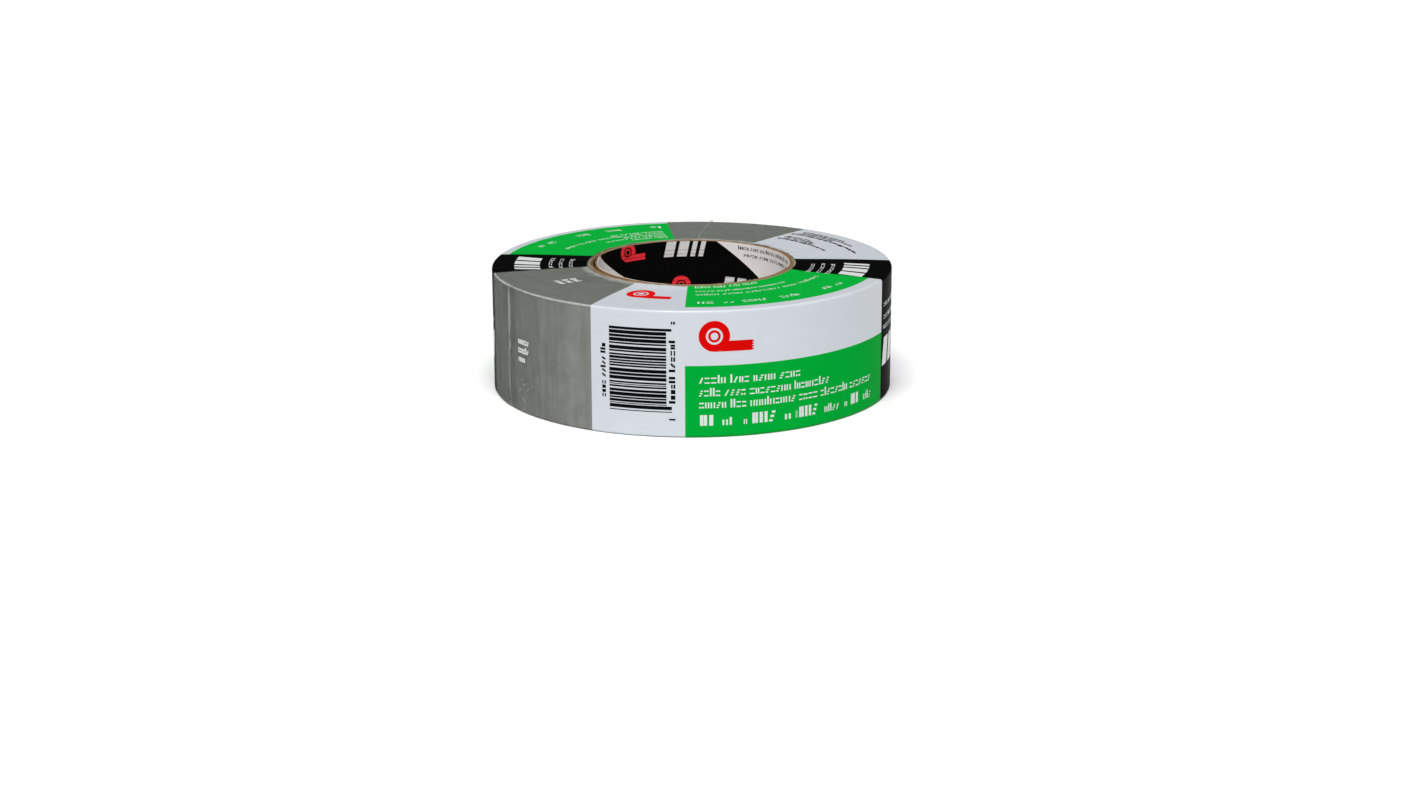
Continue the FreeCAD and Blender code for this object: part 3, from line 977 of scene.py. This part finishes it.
def make_liner():
    """The liner, cut along the borders of its printing and at its butt joint."""
    fields = {"white": Pile(), "black": Pile()}
    z = level_rows(1.5)[:, None]
    after_joint = LINER_JOINT + JOINT_GAP / 2
    edges = [BAND[0], BAND[1], BAND[0] + 180, BAND[1] + 180]
    cuts = sorted(edges + [after_joint]) + [BAND[0] + 360]
    for a0, a1 in zip(cuts, cuts[1:]):
        middle = (a0 + a1) / 2 % 180
        field = "black" if BAND[0] < middle < BAND[1] else "white"
        if a1 == after_joint:
            a1 -= JOINT_GAP
        angle = strip_angle(np.linspace(a0, a1, max(2, round((a1 - a0) / 1.5)))[None, :], z)
        fields[field].sheet(liner_point(angle, z), liner_point(angle, z, LINER_T))
    fields["white"].piece("liner_white", PAPER_WHITE, "liner_paper", ["core_liner"])
    fields["black"].piece("liner_black", PAPER_BLACK, "liner_paper")


def clipped(place, z0):
    """Keeps a mark within the liner's height."""

    def kept(x, y, lift):
        return place(x, np.clip(y, TAPE_LOW + 0.1 - z0, TUBE_TOP - 0.1 - z0), lift)

    return kept


def make_liner_print():
    """A badge and bold stripes on the black band and two lines beside it, again and again down the tube."""
    white, red, dark = Pile(), Pile(), Pile()
    repeat = 15.8  # height from each row of marks to the next
    # height above the row, start angle, words, length
    lines = [(4.0, 60.5, (5, 4, 8, 9, 4), 37), (1.2, 57, (5, 4, 9, 4, 8), 47)]
    for half in (0, 180):
        for row in range(3):
            z = 42.3 - repeat * row
            turn = half - PITCH * repeat * row
            roll_badge(red, clipped(liner_place(138.5 + turn, z), z), 12.8, 7.8)
            headline(white, clipped(liner_place(107.5 + turn, z), z), 17.6, 7.8)
            for step, (up, start, words, length) in enumerate(lines):
                at = z + up
                if at + 1.8 < TAPE_TOP:
                    line_of(dark, liner_place(start + turn, at), 1.6, words, 130 + step, length, pen=0.2)
    white.piece("liner_print_white", PAPER_INK_WHITE, "liner_paper", sharp=30)
    red.piece("liner_print_red", PAPER_INK_RED, "liner_paper", sharp=30)
    dark.piece("liner_print_dark", PAPER_INK_DARK, "liner_paper", sharp=30)


def make_tube():
    """The plies, each one helical strip with a butt joint and a cut, slightly frayed end."""
    z = level_rows(3.0)[:, None]
    rounding = np.zeros_like(z)  # of the corners, at the end and in the row beside it
    rounding[[0, -1]] = 0.11
    rounding[[1, -2]] = 0.03
    at_end = rounding > 0.05
    recess = 0.20  # of the second and the fourth ply's ends
    clear = 0.01
    once_round = np.linspace(JOINT_GAP / 2, 360 - JOINT_GAP / 2, 300)[None, :]
    for i, share in enumerate(PLY_SHARES):
        pile = Pile()
        angle = strip_angle(PLY_JOINT + PLY_JOINT_STEP * i + once_round, z)
        level = z + (fray(angle, i * 2.1) - recess * (i % 2)) * at_end * np.sign(z - MIDDLE)
        lifted = peel(angle, z, share)
        outside_r = PLY_R[i + 1] - clear - rounding - lifted
        inside_r = PLY_R[i] + clear + rounding - lifted
        pile.sheet(cylinder(outside_r, angle, level), cylinder(inside_r, angle, level))
        look = BOARD_PALE if i in (0, 4) else BOARD
        pile.piece(f"tube_ply_{i + 1}", look, "tube_board", [f"core_ply_{i + 1}"], sharp=60)


# ---------------------------------------------------------------- the tape


def tape_top(r):
    """Level of a turn's upper edge: turns near the rim are pressed in by the film."""
    room = RIM - FILM_T - 0.05
    centre = FILM_R - RIM
    level = FILM_TOP - RIM + np.sqrt(np.maximum(room**2 - np.maximum(r - centre, 0) ** 2, 0))
    return np.minimum(TAPE_TOP, level)


def outside(angle):
    """Radius of the outermost turn, which ends at the free end."""
    back = (FREE_END - np.asarray(angle, float)) % 360
    return TAPE_R - TURN * back / 360


def make_winding():
    """The wound tape: each turn's cut edge stands slightly off its neighbours."""
    cols = 144
    angle = np.linspace(0, 360, cols, endpoint=False)[None, :]
    outer = outside(angle) - TURN
    inner = FIRST_TURN_R + 0.01
    turns = round((float(outer.mean()) - inner) / TURN)
    draw = np.random.RandomState(17)
    sway = wave(19, [1, 2, 3, 5], 0.035)
    stray = np.zeros(turns)  # how far each turn is out of line, which wanders from one to the next
    for k in range(1, turns):
        stray[k] = stray[k - 1] * 0.8 + draw.normal(0, 0.02)
    stray = np.clip(stray, -0.05, 0.05)
    faces = []
    depth = 0.07  # of the edges below the tape's nominal width, and of the groove between two turns
    for way in (1, -1):
        rows = []
        for k in range(turns):
            for share, groove in ((0.12, 0.0), (0.88, 0.0), (1.0, depth)):
                if share == 1.0 and k == turns - 1:
                    continue
                r = inner + (outer - inner) * (k + share) / turns
                drop = depth + groove + stray[k] * way + sway(angle, k * 0.05)
                level = tape_top(r) - np.maximum(drop, 0.02)
                rows.append((r, level if way > 0 else TAPE_LOW + TAPE_TOP - level))
        faces.append(rows)
    top, bottom = faces
    outline = top + bottom[::-1]
    pile = Pile()
    pile.ring(np.stack([cylinder(r, angle, z)[0] for r, z in outline]))
    pile.piece("tape_turns", TAPE_EDGES, "wound_tape", ["tape_winding"], sharp=50)


def make_last_turn():
    """The outermost turn's three layers, which end at the free end with a slightly torn edge."""
    rows = np.linspace(0, 1, 40)[:, None]
    back = np.linspace(0, 359.6, 420)[None, :]  # degrees back from the free end
    torn = wave(27, [5, 11, 19, 34], 0.16)(rows * 300)
    angle = FREE_END - back + torn * np.exp(-back / 1.5) - 0.15
    clear = 0.004

    def layer_side(r):
        """One side of a layer, from its lower to its upper edge."""
        top = tape_top(r)
        bottom = 2 * MIDDLE - top
        return cylinder(r, angle, bottom + (top - bottom) * rows)

    inner = TAPE_R - TURN * back / 360 - TURN
    for name, thick in LAYERS:
        pile = Pile()
        pile.sheet(layer_side(inner + thick - clear), layer_side(inner + clear))
        pile.piece(f"tape_end_{name}", TAPE_LOOKS[name], f"tape_{name}", [f"last_turn_{name}"], sharp=50)
        inner = inner + thick


def dress_cad():
    """Materials for the CAD nodes, shown or stood for."""
    for name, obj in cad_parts.items():
        if name.startswith("core_liner"):
            look = PAPER_WHITE
        elif name.startswith("core_ply"):
            look = BOARD
        elif name == "tape_winding":
            look = TAPE_EDGES
        elif name == "shrink_sleeve":
            look = FILM_BARE
        else:
            look = TAPE_LOOKS[name.rsplit("_", 1)[1]]
        if not obj.material_slots:
            obj.data.materials.append(look)
        for slot in obj.material_slots:
            slot.material = look


# ---------------------------------------------------------------- the studio


def make_floor():
    """A plain pale floor, just under the roll. Its sizes are in metres."""
    size, count, level = 40.0, 12, -0.0002
    axis = np.linspace(-size, size, count)
    x, y = np.meshgrid(axis, axis, indexing="ij")
    points = np.stack([x, y, np.full_like(x, level)], -1)
    mesh = bpy.data.meshes.new("floor")
    mesh.from_pydata(points.reshape(-1, 3).tolist(), [], grid_faces(count, count).tolist())
    n = Nodes("floor_paint")
    tone = n.tones(n.noise(0.5, 2), (0.90, 0.90, 0.90), (0.93, 0.93, 0.93))
    glow = {"Emission Color": (1, 1, 1, 1), "Emission Strength": 0.03}
    mesh.materials.append(n.principled(tone, 0.9, {"Specular IOR Level": 0.1, **glow}))
    floor = bpy.data.objects.new("floor", mesh)
    bpy.context.scene.collection.objects.link(floor)


def make_light():
    """Soft light that is brightest ahead of the roll and above it."""
    scene = bpy.context.scene
    scene.view_settings.view_transform = "Standard"
    world = bpy.data.worlds.new("studio")
    world.use_nodes = True
    nodes, links = world.node_tree.nodes, world.node_tree.links
    toward = nodes.new("ShaderNodeVectorMath")
    toward.operation = "DOT_PRODUCT"
    toward.inputs[1].default_value = Vector((-0.05, -0.60, 0.80)).normalized()
    links.new(nodes.new("ShaderNodeTexCoord").outputs["Generated"], toward.inputs[0])
    level = nodes.new("ShaderNodeMapRange")
    level.interpolation_type = "SMOOTHSTEP"
    for key, value in (("From Min", -0.40), ("From Max", 0.95), ("To Min", 0.14), ("To Max", 0.34)):
        level.inputs[key].default_value = value
    links.new(toward.outputs["Value"], level.inputs["Value"])
    links.new(level.outputs[0], nodes["Background"].inputs["Strength"])
    nodes["Background"].inputs["Color"].default_value = (1, 1, 1, 1)
    scene.world = world
    lamp = bpy.data.lights.new("softbox", "SUN")
    lamp.energy = 3.0
    lamp.angle = math.radians(32)
    obj = bpy.data.objects.new("softbox", lamp)
    obj.rotation_euler = Vector((0.05, 0.39, -0.92)).to_track_quat("-Z", "Y").to_euler()
    scene.collection.objects.link(obj)


def make_camera():
    """Stands in front of the roll, 16 degrees above it."""
    yaw, pitch, roll = math.radians(0.391), math.radians(15.883), math.radians(-0.107)
    ahead = Vector((math.sin(yaw) * math.cos(pitch), math.cos(yaw) * math.cos(pitch), -math.sin(pitch)))
    side = ahead.cross(Vector((0, 0, 1))).normalized()
    up = side.cross(ahead)
    right = side * math.cos(roll) + up * math.sin(roll)
    up = right.cross(ahead)
    data = bpy.data.cameras.new("camera")
    data.lens = 67.73
    data.sensor_width = 36
    data.clip_start, data.clip_end = 0.01, 50
    camera = bpy.data.objects.new("camera", data)
    turn = Matrix((right, up, -ahead)).transposed().to_4x4()
    camera.matrix_world = Matrix.Translation((0, -1.0293, 0.2853)) @ turn
    bpy.context.scene.collection.objects.link(camera)
    bpy.context.scene.camera = camera


dress_cad()
make_winding()
make_last_turn()
make_tube()
make_liner()
make_liner_print()
make_film()
make_film_edges()
make_film_seam()
make_film_crease_and_highlight()
make_film_print()
make_floor()
make_light()
make_camera()
